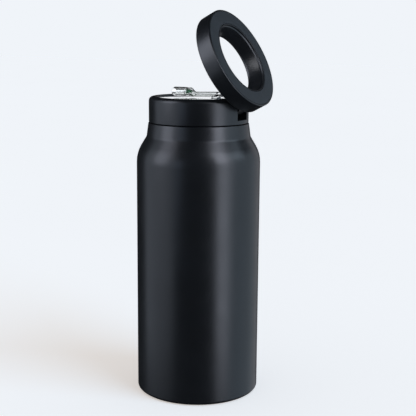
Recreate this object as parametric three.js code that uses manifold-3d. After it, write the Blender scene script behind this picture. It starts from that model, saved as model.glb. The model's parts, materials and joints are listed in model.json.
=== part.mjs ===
// Insulated bottle with a flip-up magnetic phone ring and a flip-up clear spout.
//
// Millimetres, +Z up. The bottle's axis is Z and it stands on z = 0. The ring's hinge is on the +X side,
// and the whole object is symmetric about the plane y = 0, apart from its screw thread.

import * as THREE from 'three';
import { mergeVertices } from 'three/addons/utils/BufferGeometryUtils.js';
import Module from 'manifold-3d';

const wasm = await Module();
wasm.setup();

// ---------------------------------------------------------------- driving dimensions

const GAP = 0.3; // clearance between pieces that touch in the real object
const FINE = 40; // sides of the large round pieces
const HIDDEN = 28; // sides of the round pieces inside
const COARSE = 16; // sides of the small round pieces
const ARC_STEP = Math.PI / 9; // one chord of a rounded corner
const BEVEL_RADIUS = 1; // a corner rounded by less than this is one flat bevel

const BODY_RADIUS = 40;
const SHELL_WALL = 0.6; // sheet thickness of both steel shells
const BASE_CORNER = 2; // radius where the wall meets the base
const STEEL_BASE_Z = 0.3; // the pad stands this much proud of the steel
const SHOULDER_Z = 158.1; // where the straight wall would meet the sloping shoulder
const SHOULDER_BEND = 21; // radius of that bend
const NECK_ROOT = { radius: 33.6, z: 168.7, bend: 4 };
const NECK_TOP = { radius: 32.4, z: 177.5 };
const MOUTH_RADIUS = 29.2; // inside the liner's neck

const VACUUM_GAP = 2.4; // between the two shells, on the straight wall
const LINER_BASE_Z = 6;

const THREAD = { pitch: 4, rootHeight: 2, crestHeight: 1.2, stepsPerTurn: 36 };
const MOUTH_THREAD = { root: 29.5, crest: 28, turns: 1.05, z: 170.9 };
const PLUG_THREAD = { root: 27.2, crest: 28.7, turns: 1, z: MOUTH_THREAD.z - THREAD.pitch / 2 };

const LID_RADIUS = 32.1;
const LID_WALL = 1.6;
const LID_BASE_Z = 177.9;
const LID_TOP_Z = 194.2;
const LID_EDGE = 2.7; // radius of the lid's top edge
const RIM_INNER_RADIUS = 27.45; // inside the raised rim, around the top plate
const DECK_Z = 192.2; // top of the deck under the plate
const DECK_THICKNESS = 2.1;
const PLATE_TOP_Z = 193.4;

const PLUG_RADIUS = 27.5;
const PLUG_WALL = 1.6;
const PLUG_BASE_Z = 163.6;
const PLUG_FLANGE = { radius: 30.1, z: 178.8, thickness: 1 };

const HINGE = { x: 27.1, z: 186.9, knuckle: 3.4, pin: 1.2, pinReach: 9.6, hole: 1.5, holeReach: 10 };
const HINGE_POCKET = { x: 22.3, z: 180.4, halfWidth: 6.3, floor: 1.6 };
const HINGE_BLOCK_HALF_WIDTH = 11.5;
const LUG_HALF_WIDTH = 5.1;
const OPEN_ANGLE = THREE.MathUtils.degToRad(62.4); // the ring, from lying flat on the lid

const RING = { outer: 33.1, backHole: 19.5, frontHole: 22.4, backZ: 195, frontZ: 205.5 };
const RING_RIM = 0.8; // width of the frame's rim around the facing
const MAGNETS = { count: 16, inner: 23.5, outer: 28, bottom: 201.8, top: 203.9, space: 0.6 };

const SPOUT_PIVOT = { x: 12.6, z: 191.2, hub: 2.4, trunnion: 1 };
const SPOUT_REST_Z = 194.1; // underside of the spout when it lies flat
const SPOUT_TIP = { start: -18.9, end: -6.1, halfHeight: 2.85, halfWidth: 4 };
const SPOUT_NECK = { start: -3.1, end: 15, halfHeight: 1.45, halfWidth: 3.2, channel: 0.75 };
const STRAW = { outer: 3.5, inner: 2.7, top: 162.8, bottom: 12 };
const SPIGOT = { outer: 2.4, inner: 1.4, bottom: 156 };

// The middle of the flow path when the spout stands up, which is the straw's axis.
const FLOW_X = SPOUT_PIVOT.x + SPOUT_REST_Z + SPOUT_NECK.halfHeight - SPOUT_PIVOT.z;

// ---------------------------------------------------------------- solids

// Merges shared vertices, drops slivers of no area and turns the faces outwards.
function tidySolid(geometry) {
  const bare = geometry.clone();
  bare.deleteAttribute('normal');
  bare.deleteAttribute('uv');
  const merged = mergeVertices(bare, 1e-4);
  const corner = [0, 1, 2].map(() => new THREE.Vector3());
  const faces = [];
  let volume = 0;
  for (let i = 0; i < merged.index.count; i += 3) {
    const face = [0, 1, 2].map((k) => merged.index.getX(i + k));
    if (new Set(face).size < 3) continue;
    face.forEach((vertex, k) => corner[k].fromBufferAttribute(merged.attributes.position, vertex));
    volume += corner[0].dot(corner[1].clone().cross(corner[2])) / 6;
    faces.push(face);
  }
  merged.setIndex(faces.flatMap(([a, b, c]) => (volume < 0 ? [a, c, b] : [a, b, c])));
  return merged;
}

function toManifold(geometry) {
  const solid = tidySolid(geometry);
  const vertProperties = new Float32Array(solid.attributes.position.array);
  const triVerts = new Uint32Array(solid.index.array);
  return new wasm.Manifold(new wasm.Mesh({ numProp: 3, vertProperties, triVerts }));
}

function fromManifold(solid) {
  const { vertProperties, triVerts } = solid.getMesh();
  const geometry = new THREE.BufferGeometry();
  geometry.setAttribute('position', new THREE.BufferAttribute(vertProperties, 3));
  geometry.setIndex(new THREE.BufferAttribute(triVerts, 1));
  return geometry;
}

function join(first, ...others) {
  return fromManifold(others.reduce((sum, piece) => sum.add(toManifold(piece)), toManifold(first)));
}

function cut(first, ...tools) {
  return fromManifold(tools.reduce((rest, tool) => rest.subtract(toManifold(tool)), toManifold(first)));
}

function overlap(first, second) {
  return fromManifold(toManifold(first).intersect(toManifold(second)));
}

// A polygon whose corners are [x, y] or [x, y, radius], where a radius rounds the corner with an arc.
function outline(corners) {
  return corners.flatMap(([x, y, radius = 0], i) => {
    const corner = new THREE.Vector2(x, y);
    if (radius === 0) return [corner];
    const toward = ([px, py]) => new THREE.Vector2(px - x, py - y).normalize();
    const back = toward(corners.at(i - 1));
    const ahead = toward(corners[(i + 1) % corners.length]);
    const halfAngle = Math.acos(back.dot(ahead)) / 2;
    const inward = back.clone().add(ahead).normalize();
    const centre = corner.clone().addScaledVector(inward, radius / Math.sin(halfAngle));
    const start = corner.clone().addScaledVector(back, radius / Math.tan(halfAngle)).sub(centre);
    const turn = (Math.PI - 2 * halfAngle) * -Math.sign(back.cross(ahead));
    const steps = radius < BEVEL_RADIUS ? 1 : Math.ceil(Math.abs(turn) / ARC_STEP);
    return Array.from({ length: steps + 1 }, (_, k) => (
      start.clone().rotateAround(new THREE.Vector2(), (turn * k) / steps).add(centre)
    ));
  });
}

// A body of revolution about Z. The corners are [radius, z] or [radius, z, rounding].
function lathe(corners, sides = FINE) {
  const points = outline(corners);
  const onAxis = points[0].x === 0 && points.at(-1).x === 0;
  if (!onAxis) points.push(points[0].clone());
  return new THREE.LatheGeometry(points, sides).rotateX(Math.PI / 2);
}

function ring(inner, outer, bottom, top, sides = FINE) {
  return lathe([[inner, bottom], [outer, bottom], [outer, top], [inner, top]], sides);
}

function block(x, y, z) {
  const size = [x, y, z].map(([low, high]) => high - low);
  const middle = [x, y, z].map(([low, high]) => (low + high) / 2);
  return new THREE.BoxGeometry(...size).translate(...middle);
}

// A vertical cylinder.
function post(x, y, radius, bottom, top, sides = COARSE) {
  const height = top - bottom;
  return new THREE.CylinderGeometry(radius, radius, height, sides)
    .rotateX(Math.PI / 2)
    .translate(x, y, bottom + height / 2);
}

// A cylinder along Y, from -reach to reach.
function crossRod(x, z, radius, reach, sides = COARSE) {
  return new THREE.CylinderGeometry(radius, radius, 2 * reach, sides).translate(x, 0, z);
}

// A tube of elliptical sections along X. Each station is { x, halfHeight, halfWidth, z }.
function loft(stations) {
  const geometry = new THREE.CylinderGeometry(1, 1, stations.length - 1, COARSE, stations.length - 1);
  const position = geometry.attributes.position;
  for (let i = 0; i < position.count; i += 1) {
    const station = stations[Math.round(position.getY(i) + (stations.length - 1) / 2)];
    const y = station.halfWidth * position.getX(i);
    const z = station.z + station.halfHeight * position.getZ(i);
    position.setXYZ(i, station.x, y, z);
  }
  return geometry;
}

// A helical ridge from the root radius to the crest radius: a straight bar, wound about Z. Its ends taper.
function threadRidge({ root, crest, turns, z }) {
  const taper = 0.06; // part of the ridge's length at each end
  const lowest = 0.15; // height left at the very end
  const steps = Math.round(turns * THREAD.stepsPerTurn);
  const geometry = new THREE.BoxGeometry(1, 1, 1, steps, 1, 1);
  const position = geometry.attributes.position;
  for (let i = 0; i < position.count; i += 1) {
    const along = position.getX(i) + 0.5;
    const onCrest = position.getZ(i) > 0;
    const grown = Math.max(lowest, Math.min(1, along / taper, (1 - along) / taper));
    const radius = onCrest ? root + (crest - root) * grown : root;
    const height = onCrest ? THREAD.crestHeight : THREAD.rootHeight;
    const angle = along * turns * 2 * Math.PI;
    const rise = z + along * turns * THREAD.pitch + position.getY(i) * height;
    position.setXYZ(i, radius * Math.cos(angle), radius * Math.sin(angle), rise);
  }
  return geometry;
}

// ---------------------------------------------------------------- materials and nodes

const MATERIALS = {
  black_coat: { color: 0x15171a, roughness: 0.5, metalness: 0.1 },
  steel: { color: 0xb9bcbf, roughness: 0.35, metalness: 1 },
  polished_steel: { color: 0xd4d7d9, roughness: 0.08, metalness: 1 },
  black_plastic: { color: 0x16181b, roughness: 0.5, metalness: 0 },
  white_plastic: { color: 0xdedfdd, roughness: 0.5, metalness: 0 },
  black_rubber: { color: 0x1b1c1e, roughness: 0.8, metalness: 0 },
  clear_plastic: { color: 0xe8f2ee, roughness: 0.05, metalness: 0, transparent: true, opacity: 0.35 },
  green_silicone: { color: 0x5fae74, roughness: 0.4, metalness: 0 },
  foam: { color: 0xd8d4c8, roughness: 0.95, metalness: 0 },
  magnet: { color: 0x9a9da0, roughness: 0.3, metalness: 1 },
};

function part(name, material, geometry) {
  const mesh = new THREE.Mesh(tidySolid(geometry), new THREE.MeshStandardMaterial(MATERIALS[material]));
  mesh.name = name;
  return mesh;
}

// ---------------------------------------------------------------- the bottle

function outerShell() {
  const inside = BODY_RADIUS - SHELL_WALL;
  const lip = { radius: MOUTH_RADIUS + SHELL_WALL + GAP, bottom: NECK_TOP.z - SHELL_WALL };
  const foot = BODY_RADIUS - 4;
  return lathe([
    [foot, STEEL_BASE_Z],
    [BODY_RADIUS, STEEL_BASE_Z, BASE_CORNER],
    [BODY_RADIUS, SHOULDER_Z, SHOULDER_BEND],
    [NECK_ROOT.radius, NECK_ROOT.z, NECK_ROOT.bend],
    [NECK_TOP.radius, NECK_TOP.z, 0.4],
    [lip.radius, NECK_TOP.z],
    [lip.radius, lip.bottom],
    [NECK_TOP.radius - SHELL_WALL, lip.bottom],
    [NECK_ROOT.radius - SHELL_WALL, NECK_ROOT.z, NECK_ROOT.bend],
    [inside, SHOULDER_Z - SHELL_WALL / 3, SHOULDER_BEND],
    [inside, STEEL_BASE_Z + SHELL_WALL, BASE_CORNER - SHELL_WALL],
    [foot, STEEL_BASE_Z + SHELL_WALL],
  ]);
}

function innerLiner() {
  const inside = BODY_RADIUS - 2 * SHELL_WALL - VACUUM_GAP;
  const bend = SHOULDER_Z - 1.5;
  const neckRoot = 168.6;
  const corner = 8;
  const cup = lathe([
    [0, LINER_BASE_Z],
    [inside + SHELL_WALL, LINER_BASE_Z, corner],
    [inside + SHELL_WALL, bend, SHOULDER_BEND - 3],
    [MOUTH_RADIUS + SHELL_WALL, neckRoot, NECK_ROOT.bend],
    [MOUTH_RADIUS + SHELL_WALL, NECK_TOP.z],
    [MOUTH_RADIUS, NECK_TOP.z],
    [MOUTH_RADIUS, neckRoot, NECK_ROOT.bend],
    [inside, bend, SHOULDER_BEND - 3],
    [inside, LINER_BASE_Z + SHELL_WALL, corner - SHELL_WALL],
    [0, LINER_BASE_Z + SHELL_WALL],
  ]);
  return join(cup, threadRidge(MOUTH_THREAD));
}

// The pressed base plate, with a turned-down edge and a dimple in the middle for the vacuum seal.
function baseCap() {
  const radius = BODY_RADIUS - 4 - GAP;
  const underside = 2.1;
  const dimple = { foot: 5.2, top: 4, rise: 1.1 };
  return lathe([
    [0, underside + dimple.rise],
    [dimple.top, underside + dimple.rise],
    [dimple.foot, underside],
    [radius - SHELL_WALL, underside, 0.5],
    [radius - SHELL_WALL, STEEL_BASE_Z + 0.1],
    [radius, STEEL_BASE_Z + 0.1],
    [radius, underside + SHELL_WALL, 1],
    [dimple.foot + 0.3, underside + SHELL_WALL],
    [dimple.top + 0.3, underside + dimple.rise + SHELL_WALL],
    [0, underside + dimple.rise + SHELL_WALL],
  ], HIDDEN);
}

function basePad() {
  const radius = 34.6;
  return lathe([[0, 0], [radius, 0, 0.5], [radius, 1.8], [0, 1.8]]);
}

// The brazed disc that closes the evacuation hole, inside the dimple.
function vacuumSeal() {
  return post(0, 0, 3, 2.1, 2.9);
}

// The pellet between the shells that keeps the vacuum.
function getter() {
  return post(14, 0, 5, 3, 4.6);
}

const bottle = [
  part('outer_shell', 'black_coat', outerShell()),
  part('inner_liner', 'steel', innerLiner()),
  part('base_cap', 'steel', baseCap()),
  part('base_pad', 'black_rubber', basePad()),
  part('vacuum_seal', 'steel', vacuumSeal()),
  part('getter', 'steel', getter()),
];

// ---------------------------------------------------------------- the lid

const deckUnderside = DECK_Z - DECK_THICKNESS;
const hingeBlock = { x: HINGE_POCKET.x - 1.8, z: HINGE_POCKET.z - HINGE_POCKET.floor };
const holderBody = { x: [9, 20.2], halfWidth: 8, z: [185, DECK_Z] };
const holderWing = { x: [11.5, 18.5], reach: 13, z: [187.6, deckUnderside - GAP] };
const chamberFloor = 186; // under the spout's hub
const screw = { x: 15, y: 10.5, radius: 1, head: 2, z: [187, 191.2], headZ: [185.8, 187.3] };

function hingePocket() {
  return block(
    [HINGE_POCKET.x, LID_RADIUS + 2],
    [-HINGE_POCKET.halfWidth, HINGE_POCKET.halfWidth],
    [HINGE_POCKET.z, LID_TOP_Z + 1],
  );
}

function lidShell() {
  const inside = LID_RADIUS - LID_WALL;
  const cup = lathe([
    [0, deckUnderside],
    [inside, deckUnderside, 1],
    [inside, LID_BASE_Z],
    [LID_RADIUS, LID_BASE_Z, 0.4],
    [LID_RADIUS, LID_TOP_Z, LID_EDGE],
    [RIM_INNER_RADIUS, LID_TOP_Z, 0.3],
    [RIM_INNER_RADIUS, DECK_Z],
    [0, DECK_Z],
  ]);
  const aroundHinge = overlap(
    block(
      [hingeBlock.x, LID_RADIUS],
      [-HINGE_BLOCK_HALF_WIDTH, HINGE_BLOCK_HALF_WIDTH],
      [hingeBlock.z, DECK_Z - 1],
    ),
    ring(10, LID_RADIUS - 0.4, hingeBlock.z - 1, DECK_Z),
  );
  const holderWindow = block(
    [holderBody.x[0] - GAP, holderBody.x[1] + GAP],
    [-holderBody.halfWidth - GAP, holderBody.halfWidth + GAP],
    [deckUnderside - 1, DECK_Z + 1],
  );
  const screwHoles = [-1, 1].map((side) => (
    post(screw.x, side * screw.y, screw.radius + GAP, deckUnderside - 1, screw.z[1] + GAP)
  ));
  return cut(
    join(cup, aroundHinge),
    hingePocket(),
    crossRod(HINGE.x, HINGE.z, HINGE.hole, HINGE.holeReach),
    holderWindow,
    ...screwHoles,
  );
}

function lidGasket() {
  const inner = PLUG_RADIUS + 0.35;
  return ring(inner, PLUG_FLANGE.radius, NECK_TOP.z + GAP, PLUG_FLANGE.z - GAP, HIDDEN);
}

const ventX = -14;
const ventStem = 1.1;

function screwPlug() {
  const inside = PLUG_RADIUS - PLUG_WALL;
  const flangeTop = PLUG_FLANGE.z + PLUG_FLANGE.thickness;
  const cup = lathe([
    [0, PLUG_BASE_Z],
    [PLUG_RADIUS, PLUG_BASE_Z, 0.9],
    [PLUG_RADIUS, PLUG_FLANGE.z],
    [PLUG_FLANGE.radius, PLUG_FLANGE.z],
    [PLUG_FLANGE.radius, flangeTop],
    [inside, flangeTop],
    [inside, PLUG_BASE_Z + PLUG_WALL],
    [0, PLUG_BASE_Z + PLUG_WALL],
  ], HIDDEN);
  const besideHinge = block(
    [hingeBlock.x - GAP, LID_RADIUS],
    [-HINGE_BLOCK_HALF_WIDTH - GAP, HINGE_BLOCK_HALF_WIDTH + GAP],
    [hingeBlock.z - GAP, flangeTop + 1],
  );
  return cut(
    join(cup, threadRidge(PLUG_THREAD)),
    besideHinge,
    post(FLOW_X, 0, SPIGOT.outer + GAP, PLUG_BASE_Z - 1, PLUG_BASE_Z + 3),
    post(ventX, 0, ventStem + GAP, PLUG_BASE_Z - 1, PLUG_BASE_Z + 3),
  );
}

function ventValve() {
  const cap = { radius: 3.6, bottom: 162.3, top: PLUG_BASE_Z - GAP };
  return lathe([
    [0, cap.bottom],
    [cap.radius, cap.bottom, 0.4],
    [cap.radius, cap.top],
    [ventStem, cap.top],
    [ventStem, PLUG_BASE_Z + PLUG_WALL],
    [0, PLUG_BASE_Z + PLUG_WALL],
  ], COARSE).translate(ventX, 0, 0);
}

function lidFoam() {
  const radius = PLUG_RADIUS - PLUG_WALL - 0.4;
  const bottom = PLUG_BASE_Z + PLUG_WALL + 0.4;
  const top = hingeBlock.z - GAP;
  const puck = lathe([[0, bottom], [radius, bottom], [radius, top], [0, top]], HIDDEN);
  return cut(puck, post(FLOW_X, 0, SPIGOT.outer + 0.4, bottom - 1, top + 1));
}

const spoutSlot = { x: [9.9, 19.2], halfWidth: 3.6 };

function topPlate() {
  const bottom = PLATE_TOP_Z - 0.9;
  const radius = RIM_INNER_RADIUS - GAP;
  const disc = lathe([[0, bottom], [radius, bottom], [radius, PLATE_TOP_Z, 0.2], [0, PLATE_TOP_Z]]);
  const beyond = [bottom - 1, PLATE_TOP_Z + 1];
  const pocketSide = HINGE_POCKET.halfWidth + GAP;
  return cut(
    disc,
    block(spoutSlot.x, [-spoutSlot.halfWidth, spoutSlot.halfWidth], beyond),
    block([HINGE_POCKET.x - GAP, LID_RADIUS], [-pocketSide, pocketSide], beyond),
  );
}

// Carries the spout's trunnions in open cradles, which the top plate closes, and the spigot for the straw.
function spoutHolder() {
  const cradle = SPOUT_PIVOT.trunnion + GAP;
  const wings = block(holderWing.x, [-holderWing.reach, holderWing.reach], holderWing.z);
  const body = block(holderBody.x, [-holderBody.halfWidth, holderBody.halfWidth], holderBody.z);
  const spigot = post(FLOW_X, 0, SPIGOT.outer, SPIGOT.bottom, holderBody.z[0] + 0.5);
  const chamber = block(spoutSlot.x, [-spoutSlot.halfWidth, spoutSlot.halfWidth], [chamberFloor, DECK_Z + 1]);
  const cradleReach = 5.9;
  const cradleTop = block(
    [SPOUT_PIVOT.x - cradle, SPOUT_PIVOT.x + cradle],
    [-cradleReach, cradleReach],
    [SPOUT_PIVOT.z, DECK_Z + 1],
  );
  const screwHoles = [-1, 1].map((side) => (
    post(screw.x, side * screw.y, screw.radius + GAP, holderWing.z[0] - 1, holderWing.z[1] + 1)
  ));
  return cut(
    join(body, wings, spigot),
    chamber,
    cradleTop,
    crossRod(SPOUT_PIVOT.x, SPOUT_PIVOT.z, cradle, cradleReach),
    post(FLOW_X, 0, SPIGOT.inner, SPIGOT.bottom - 1, chamberFloor + 1),
    ...screwHoles,
  );
}

function holderScrew(side) {
  const shank = post(screw.x, side * screw.y, screw.radius, ...screw.z, 12);
  const head = post(screw.x, side * screw.y, screw.head, ...screw.headZ, 12);
  return join(shank, head);
}

function spoutSeat() {
  const height = [chamberFloor + GAP, SPOUT_PIVOT.z - SPOUT_PIVOT.hub - GAP];
  const pad = block([14, spoutSlot.x[1] - GAP], [-3.2, 3.2], height);
  return cut(pad, post(FLOW_X, 0, SPIGOT.inner, height[0] - 1, height[1] + 1));
}

function hingeWasher(side) {
  const radius = 3;
  const halfThickness = 0.3;
  const washer = cut(crossRod(0, 0, radius, halfThickness), crossRod(0, 0, HINGE.hole, 2 * halfThickness));
  return washer.translate(HINGE.x, side * (LUG_HALF_WIDTH + GAP + halfThickness), HINGE.z);
}

const lid = [
  part('lid_shell', 'black_plastic', lidShell()),
  part('screw_plug', 'black_plastic', screwPlug()),
  part('lid_gasket', 'black_rubber', lidGasket()),
  part('lid_foam', 'foam', lidFoam()),
  part('vent_valve', 'black_rubber', ventValve()),
  part('top_plate', 'polished_steel', topPlate()),
  part('spout_holder', 'black_plastic', spoutHolder()),
  part('spout_seat', 'black_rubber', spoutSeat()),
  part('holder_screw_left', 'steel', holderScrew(1)),
  part('holder_screw_right', 'steel', holderScrew(-1)),
  part('straw', 'white_plastic', ring(STRAW.inner, STRAW.outer, STRAW.bottom, STRAW.top, COARSE)
    .translate(FLOW_X, 0, 0)),
  part('hinge_pin', 'steel', crossRod(HINGE.x, HINGE.z, HINGE.pin, HINGE.pinReach)),
  part('hinge_washer_left', 'black_rubber', hingeWasher(1)),
  part('hinge_washer_right', 'black_rubber', hingeWasher(-1)),
];

// ---------------------------------------------------------------- the flip-up spout

const valve = { x: [-8.4, -6.4], halfHeight: 1.4, halfWidth: 2.4 };

// The clear mouthpiece, lying flat towards -X: a thick tip, a thin neck, and a hub with two trunnions.
function mouthpiece() {
  const tipZ = SPOUT_REST_Z + SPOUT_TIP.halfHeight;
  const neckZ = SPOUT_REST_Z + SPOUT_NECK.halfHeight;
  const tip = (x, halfHeight, halfWidth) => ({ x, halfHeight, halfWidth, z: tipZ });
  const neck = (x, halfHeight, halfWidth) => ({ x, halfHeight, halfWidth, z: neckZ });
  const { halfHeight, halfWidth } = SPOUT_TIP;
  const outside = loft([
    tip(SPOUT_TIP.start, halfHeight - 0.9, halfWidth - 0.9),
    tip(SPOUT_TIP.start + 0.4, halfHeight - 0.35, halfWidth - 0.35),
    tip(SPOUT_TIP.start + 1.4, halfHeight, halfWidth),
    tip(SPOUT_TIP.end, halfHeight, halfWidth),
    neck(SPOUT_NECK.start, SPOUT_NECK.halfHeight, SPOUT_NECK.halfWidth),
    neck(SPOUT_NECK.end, SPOUT_NECK.halfHeight, SPOUT_NECK.halfWidth),
  ]);
  const channel = loft([
    tip(SPOUT_TIP.start - 1, valve.halfHeight + GAP, valve.halfWidth + GAP),
    tip(SPOUT_TIP.end, valve.halfHeight + GAP, valve.halfWidth + GAP),
    neck(SPOUT_NECK.start, SPOUT_NECK.channel, 2.2),
    neck(SPOUT_NECK.end + 1, SPOUT_NECK.channel, 2.2),
  ]);
  const hub = crossRod(SPOUT_PIVOT.x, SPOUT_PIVOT.z, SPOUT_PIVOT.hub, SPOUT_NECK.halfWidth);
  const web = block(
    [SPOUT_PIVOT.x - 2, SPOUT_PIVOT.x + 2],
    [-SPOUT_NECK.halfWidth + 0.6, SPOUT_NECK.halfWidth - 0.6],
    [SPOUT_PIVOT.z, SPOUT_REST_Z + 0.9],
  );
  const trunnions = crossRod(SPOUT_PIVOT.x, SPOUT_PIVOT.z, SPOUT_PIVOT.trunnion, 5.6);
  return cut(join(outside, hub, web, trunnions), channel);
}

// A short silicone sleeve with a slit, which stops drips.
function flowValve() {
  const z = SPOUT_REST_Z + SPOUT_TIP.halfHeight;
  const { halfHeight, halfWidth } = valve;
  const sleeve = loft(valve.x.map((x) => ({ x, halfHeight, halfWidth, z })));
  const slit = block([valve.x[0] - 1, valve.x[1] + 1], [-1.4, 1.4], [z - 0.3, z + 0.3]);
  return cut(sleeve, slit);
}

const spout = [
  part('mouthpiece', 'clear_plastic', mouthpiece()),
  part('flow_valve', 'green_silicone', flowValve()),
];

// ---------------------------------------------------------------- the phone ring

// The ring's pieces are drawn as they lie flat on the lid, and the group turns them open about the hinge.
function ringFrame() {
  const seat = { inner: MAGNETS.inner - 0.4, outer: MAGNETS.outer + 0.4, floor: MAGNETS.bottom - 1.2 };
  const coverFloor = RING.frontZ - 1.3;
  const rimZ = RING.frontZ - 0.1;
  const body = lathe([
    [RING.backHole, RING.backZ, 0.5],
    [RING.outer, RING.backZ, 0.9],
    [RING.outer, rimZ, 0.6],
    [RING.outer - RING_RIM, rimZ],
    [RING.outer - RING_RIM, coverFloor],
    [seat.outer, coverFloor],
    [seat.outer, seat.floor],
    [seat.inner, seat.floor],
    [seat.inner, rimZ],
    [RING.frontHole, rimZ, 0.3],
    [RING.frontHole, coverFloor],
    [RING.frontHole - 0.6, coverFloor - 0.6],
    [RING.backHole, RING.backZ + 1.5],
  ]);
  return cut(join(body, hingeLug()), crossRod(HINGE.x, HINGE.z, HINGE.hole, HINGE.holeReach));
}

// The arm runs from the knuckle into the ring's back. Its outer side leans in, to clear the lid's edge.
function hingeLug() {
  const rootZ = RING.backZ - HINGE.z + 0.8; // sunk into the ring
  const profile = new THREE.Shape(outline([
    [-HINGE.knuckle, 0],
    [3.2, 1.1],
    [2, 5.2, 1],
    [2.2, rootZ],
    [-4.3, rootZ],
  ]));
  const arm = new THREE.ExtrudeGeometry(profile, { depth: 2 * LUG_HALF_WIDTH, bevelEnabled: false })
    .rotateX(Math.PI / 2)
    .translate(HINGE.x, LUG_HALF_WIDTH, HINGE.z);
  return join(arm, crossRod(HINGE.x, HINGE.z, HINGE.knuckle, LUG_HALF_WIDTH));
}

// The flat facing that the phone rests against.
function ringFace() {
  return ring(RING.frontHole + 1, RING.outer - RING_RIM - GAP, RING.frontZ - 1, RING.frontZ);
}

// The steel ring behind the magnets, which turns their field to the front.
function ringKeeper() {
  return ring(MAGNETS.inner, MAGNETS.outer, MAGNETS.bottom - 0.9, MAGNETS.bottom - GAP, HIDDEN);
}

function magnet(index) {
  const pitch = (2 * Math.PI) / MAGNETS.count;
  const start = index * pitch;
  const end = start + pitch - MAGNETS.space / MAGNETS.inner;
  const shape = new THREE.Shape();
  shape.absarc(0, 0, MAGNETS.outer, start, end, false);
  shape.absarc(0, 0, MAGNETS.inner, end, start, true);
  const depth = MAGNETS.top - MAGNETS.bottom;
  return new THREE.ExtrudeGeometry(shape, { depth, bevelEnabled: false, curveSegments: 3 })
    .translate(0, 0, MAGNETS.bottom);
}

function ringPart(name, material, geometry) {
  return part(name, material, geometry.translate(-HINGE.x, 0, -HINGE.z));
}

const phoneRing = new THREE.Group();
phoneRing.position.set(HINGE.x, 0, HINGE.z);
phoneRing.rotation.y = OPEN_ANGLE;
phoneRing.add(
  ringPart('ring_frame', 'black_plastic', ringFrame()),
  ringPart('ring_face', 'black_rubber', ringFace()),
  ringPart('ring_keeper', 'steel', ringKeeper()),
);
for (let index = 0; index < MAGNETS.count; index += 1) {
  const number = String(index + 1).padStart(2, '0');
  phoneRing.add(ringPart(`magnet_${number}`, 'magnet', magnet(index)));
}

// ---------------------------------------------------------------- the object

const object = new THREE.Group();
object.add(...bottle, ...lid, ...spout, phoneRing);

export default object;
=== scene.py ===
"""The visual model of an insulated bottle with a hinged phone ring and a clear flip-up spout.

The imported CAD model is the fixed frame. Each CAD solid is replaced by a finer mesh of the same size, and every
piece gets a procedural material. Lengths are in metres; MM turns millimetres into metres.
"""

import json
import math

import bmesh
import bpy
from mathutils import Matrix, Vector


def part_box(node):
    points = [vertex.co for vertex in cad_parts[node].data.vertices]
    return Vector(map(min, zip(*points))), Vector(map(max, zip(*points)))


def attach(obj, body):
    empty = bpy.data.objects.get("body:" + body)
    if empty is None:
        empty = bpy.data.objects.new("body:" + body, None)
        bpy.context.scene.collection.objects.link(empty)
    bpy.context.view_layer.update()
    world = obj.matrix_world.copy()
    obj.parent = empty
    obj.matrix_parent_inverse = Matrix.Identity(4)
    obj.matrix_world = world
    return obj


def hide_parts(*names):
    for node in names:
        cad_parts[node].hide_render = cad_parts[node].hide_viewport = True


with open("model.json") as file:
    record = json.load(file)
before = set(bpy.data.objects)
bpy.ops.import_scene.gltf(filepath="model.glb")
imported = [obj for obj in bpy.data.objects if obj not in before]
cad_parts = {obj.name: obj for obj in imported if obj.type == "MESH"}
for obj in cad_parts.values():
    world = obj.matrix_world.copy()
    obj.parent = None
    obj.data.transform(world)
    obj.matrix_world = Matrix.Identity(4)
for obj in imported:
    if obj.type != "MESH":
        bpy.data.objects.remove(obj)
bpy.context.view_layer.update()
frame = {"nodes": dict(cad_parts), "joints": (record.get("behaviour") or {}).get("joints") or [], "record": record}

MM = 0.001
SIDES = 192  # of a large round piece
HIDDEN_SIDES = 144  # of a large round piece that is inside the bottle or under it
SMALL_SIDES = 64  # of a small round piece
TINY_SIDES = 48  # of a screw, a pin or a washer
ARC_STEP = math.radians(9)  # one chord of a rounded corner
SMOOTH_ANGLE = math.radians(32)  # a sharper edge than this is a crease


# ------------------------------------------------------------------ places and sizes, from the frame

def joint(name):
    return next(j for j in frame["joints"] if j["name"] == name)


GAP = 0.3 * MM  # between pieces that touch in the real object

SHELL_LOW, SHELL_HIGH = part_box("outer_shell")
LID_LOW, LID_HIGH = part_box("lid_shell")
PLATE_LOW, PLATE_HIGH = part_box("top_plate")
PAD_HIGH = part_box("base_pad")[1]
PLUG_LOW, PLUG_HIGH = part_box("screw_plug")

BODY_RADIUS = SHELL_HIGH.x
BASE_Z = SHELL_LOW.z
NECK_TOP_Z = SHELL_HIGH.z
LID_RADIUS = LID_HIGH.y
LID_BASE_Z = LID_LOW.z
LID_TOP_Z = LID_HIGH.z
PLATE_TOP_Z = PLATE_HIGH.z
PLATE_RADIUS = -PLATE_LOW.x

HINGE = Vector(joint("ring_tilt")["pos_m"])
OPEN_ANGLE = -math.radians(joint("ring_tilt")["range_deg"][0])
SPOUT_PIVOT = Vector(joint("spout_flip")["pos_m"])

# The ring, as it would lie flat on the lid.
RING_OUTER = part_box("ring_frame")[1].y - 0.15 * MM  # inside the chords of the CAD ring
RING_BACK_HOLE = 19.5 * MM
RING_FRONT_HOLE = 22.4 * MM
RING_BACK_Z = 195 * MM
RING_FRONT_Z = 205.5 * MM
RING_RIM = 0.8 * MM
LUG_HALF_WIDTH = 5.1 * MM
PIN_HOLE = 1.5 * MM  # its radius, in the lug, the lid and the washers
PIN_HOLE_REACH = 10 * MM

# The pocket in the lid for the hinge, and the block around it.
POCKET_X = 22.3 * MM
POCKET_Z = 180.4 * MM
POCKET_HALF_WIDTH = 6.3 * MM
HINGE_BLOCK_X = POCKET_X - 1.8 * MM
HINGE_BLOCK_Z = POCKET_Z - 1.6 * MM
HINGE_BLOCK_HALF_WIDTH = 11.5 * MM

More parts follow.
